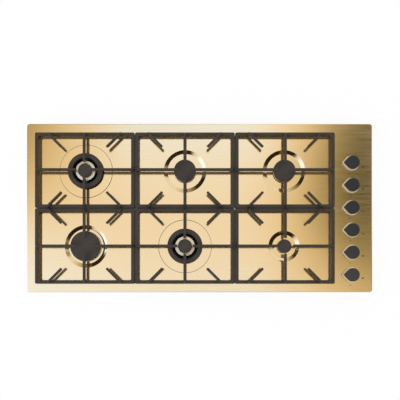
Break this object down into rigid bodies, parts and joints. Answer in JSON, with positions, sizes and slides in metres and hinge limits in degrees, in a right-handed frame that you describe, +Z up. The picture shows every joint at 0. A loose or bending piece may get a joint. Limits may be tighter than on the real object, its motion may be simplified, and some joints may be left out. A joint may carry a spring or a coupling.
{
  "type": "gas cooktop",
  "caption": "Built-in gas cooktop: wide gold sheet top, cast pan supports over ring, large, medium and small burners, and a column of push-and-turn knobs at the right.",
  "frame": {"origin": "middle of the underside of the tray, which is the middle of the whole object seen from above", "axes": "+X to the right along the long side, towards the knobs; +Y to the rear; +Z up"},
  "size_m": [1.134, 0.553, 0.0975],
  "materials": {
    "gold_sheet": "stainless sheet with a brass-gold vapour-deposited coat, finely satined and close to a mirror",
    "cast_enamel": "cast iron with matt charcoal enamel",
    "cap_enamel": "steel with matt charcoal enamel",
    "burner_aluminium": "die-cast aluminium, turned on its faces",
    "knob_black": "moulded heat-proof plastic, matt black",
    "knob_metal": "plated metal, champagne",
    "steel": "drawn steel",
    "tap_brass": "machined brass",
    "zinc_sheet": "galvanised steel sheet",
    "generator_plastic": "moulded plastic"
  },
  "bodies": {
    "root": {"top_plate": "gold_sheet", "base_tray": "zinc_sheet", "gas_manifold": "steel", "spark_generator": "generator_plastic", "flame_spreader_rear_left": "burner_aluminium", "burner_cup_rear_left": "burner_aluminium", "tap_body_rear_left": "tap_brass", "flame_spreader_rear_middle": "burner_aluminium", "burner_cup_rear_middle": "burner_aluminium", "tap_body_rear_middle": "tap_brass", "flame_spreader_rear_right": "burner_aluminium", "burner_cup_rear_right": "burner_aluminium", "tap_body_rear_right": "tap_brass", "flame_spreader_front_left": "burner_aluminium", "burner_cup_front_left": "burner_aluminium", "tap_body_front_left": "tap_brass", "flame_spreader_front_middle": "burner_aluminium", "burner_cup_front_middle": "burner_aluminium", "tap_body_front_middle": "tap_brass", "flame_spreader_front_right": "burner_aluminium", "burner_cup_front_right": "burner_aluminium", "tap_body_front_right": "tap_brass"},
    "support_rear_left": {"pan_support_rear_left": "cast_enamel"},
    "support_rear_middle": {"pan_support_rear_middle": "cast_enamel"},
    "support_rear_right": {"pan_support_rear_right": "cast_enamel"},
    "support_front_left": {"pan_support_front_left": "cast_enamel"},
    "support_front_middle": {"pan_support_front_middle": "cast_enamel"},
    "support_front_right": {"pan_support_front_right": "cast_enamel"},
    "cap_rear_left": {"burner_cap_rear_left": "cap_enamel"},
    "cap_rear_middle": {"burner_cap_rear_middle": "cap_enamel"},
    "cap_rear_right": {"burner_cap_rear_right": "cap_enamel"},
    "cap_front_left": {"burner_cap_front_left": "cap_enamel"},
    "cap_front_middle": {"burner_cap_front_middle": "cap_enamel"},
    "cap_front_right": {"burner_cap_front_right": "cap_enamel"},
    "ring_rear_left": {"ring_cap_rear_left": "cap_enamel"},
    "ring_front_middle": {"ring_cap_front_middle": "cap_enamel"},
    "plug_rear_right": {"tap_plug_rear_right": "tap_brass"},
    "knob_rear_right": {"knob_cap_rear_right": "knob_black", "knob_skirt_rear_right": "knob_metal", "tap_spindle_rear_right": "steel"},
    "plug_rear_middle": {"tap_plug_rear_middle": "tap_brass"},
    "knob_rear_middle": {"knob_cap_rear_middle": "knob_black", "knob_skirt_rear_middle": "knob_metal", "tap_spindle_rear_middle": "steel"},
    "plug_rear_left": {"tap_plug_rear_left": "tap_brass"},
    "knob_rear_left": {"knob_cap_rear_left": "knob_black", "knob_skirt_rear_left": "knob_metal", "tap_spindle_rear_left": "steel"},
    "plug_front_right": {"tap_plug_front_right": "tap_brass"},
    "knob_front_right": {"knob_cap_front_right": "knob_black", "knob_skirt_front_right": "knob_metal", "tap_spindle_front_right": "steel"},
    "plug_front_middle": {"tap_plug_front_middle": "tap_brass"},
    "knob_front_middle": {"knob_cap_front_middle": "knob_black", "knob_skirt_front_middle": "knob_metal", "tap_spindle_front_middle": "steel"},
    "plug_front_left": {"tap_plug_front_left": "tap_brass"},
    "knob_front_left": {"knob_cap_front_left": "knob_black", "knob_skirt_front_left": "knob_metal", "tap_spindle_front_left": "steel"}
  },
  "joints": [
    {"name": "support_lift_rear_left", "type": "slide", "parent": "root", "child": "support_rear_left", "axis": [0, 0, 1], "range_m": [0, 0.12]},
    {"name": "support_lift_rear_middle", "type": "slide", "parent": "root", "child": "support_rear_middle", "axis": [0, 0, 1], "range_m": [0, 0.12]},
    {"name": "support_lift_rear_right", "type": "slide", "parent": "root", "child": "support_rear_right", "axis": [0, 0, 1], "range_m": [0, 0.12]},
    {"name": "support_lift_front_left", "type": "slide", "parent": "root", "child": "support_front_left", "axis": [0, 0, 1], "range_m": [0, 0.12]},
    {"name": "support_lift_front_middle", "type": "slide", "parent": "root", "child": "support_front_middle", "axis": [0, 0, 1], "range_m": [0, 0.12]},
    {"name": "support_lift_front_right", "type": "slide", "parent": "root", "child": "support_front_right", "axis": [0, 0, 1], "range_m": [0, 0.12]},
    {"name": "cap_lift_rear_left", "type": "slide", "parent": "root", "child": "cap_rear_left", "axis": [0, 0, 1], "range_m": [0, 0.03]},
    {"name": "cap_lift_rear_middle", "type": "slide", "parent": "root", "child": "cap_rear_middle", "axis": [0, 0, 1], "range_m": [0, 0.01]},
    {"name": "cap_lift_rear_right", "type": "slide", "parent": "root", "child": "cap_rear_right", "axis": [0, 0, 1], "range_m": [0, 0.01]},
    {"name": "cap_lift_front_left", "type": "slide", "parent": "root", "child": "cap_front_left", "axis": [0, 0, 1], "range_m": [0, 0.01]},
    {"name": "cap_lift_front_middle", "type": "slide", "parent": "root", "child": "cap_front_middle", "axis": [0, 0, 1], "range_m": [0, 0.03]},
    {"name": "cap_lift_front_right", "type": "slide", "parent": "root", "child": "cap_front_right", "axis": [0, 0, 1], "range_m": [0, 0.03]},
    {"name": "ring_lift_rear_left", "type": "slide", "parent": "root", "child": "ring_rear_left", "axis": [0, 0, 1], "range_m": [0, 0.01]},
    {"name": "ring_lift_front_middle", "type": "slide", "parent": "root", "child": "ring_front_middle", "axis": [0, 0, 1], "range_m": [0, 0.01]},
    {"name": "knob_turn_rear_right", "type": "hinge", "parent": "root", "child": "plug_rear_right", "pos_m": [0.4985, 0.1468, 0.03], "axis": [0, 0, 1], "range_deg": [0, 165]},
    {"name": "knob_push_rear_right", "type": "slide", "parent": "plug_rear_right", "child": "knob_rear_right", "axis": [0, 0, -1], "range_m": [0, 0.004], "stiffness_N_per_m": 1500, "springref_m": -0.004},
    {"name": "knob_turn_rear_middle", "type": "hinge", "parent": "root", "child": "plug_rear_middle", "pos_m": [0.4985, 0.0736, 0.03], "axis": [0, 0, 1], "range_deg": [0, 165]},
    {"name": "knob_push_rear_middle", "type": "slide", "parent": "plug_rear_middle", "child": "knob_rear_middle", "axis": [0, 0, -1], "range_m": [0, 0.004], "stiffness_N_per_m": 1500, "springref_m": -0.004},
    {"name": "knob_turn_rear_left", "type": "hinge", "parent": "root", "child": "plug_rear_left", "pos_m": [0.4985, 0.0004, 0.03], "axis": [0, 0, 1], "range_deg": [0, 165]},
    {"name": "knob_push_rear_left", "type": "slide", "parent": "plug_rear_left", "child": "knob_rear_left", "axis": [0, 0, -1], "range_m": [0, 0.004], "stiffness_N_per_m": 1500, "springref_m": -0.004},
    {"name": "knob_turn_front_right", "type": "hinge", "parent": "root", "child": "plug_front_right", "pos_m": [0.4985, -0.0728, 0.03], "axis": [0, 0, 1], "range_deg": [0, 165]},
    {"name": "knob_push_front_right", "type": "slide", "parent": "plug_front_right", "child": "knob_front_right", "axis": [0, 0, -1], "range_m": [0, 0.004], "stiffness_N_per_m": 1500, "springref_m": -0.004},
    {"name": "knob_turn_front_middle", "type": "hinge", "parent": "root", "child": "plug_front_middle", "pos_m": [0.4985, -0.146, 0.03], "axis": [0, 0, 1], "range_deg": [0, 165]},
    {"name": "knob_push_front_middle", "type": "slide", "parent": "plug_front_middle", "child": "knob_front_middle", "axis": [0, 0, -1], "range_m": [0, 0.004], "stiffness_N_per_m": 1500, "springref_m": -0.004},
    {"name": "knob_turn_front_left", "type": "hinge", "parent": "root", "child": "plug_front_left", "pos_m": [0.4985, -0.2192, 0.03], "axis": [0, 0, 1], "range_deg": [0, 165]},
    {"name": "knob_push_front_left", "type": "slide", "parent": "plug_front_left", "child": "knob_front_left", "axis": [0, 0, -1], "range_m": [0, 0.004], "stiffness_N_per_m": 1500, "springref_m": -0.004}
  ]
}
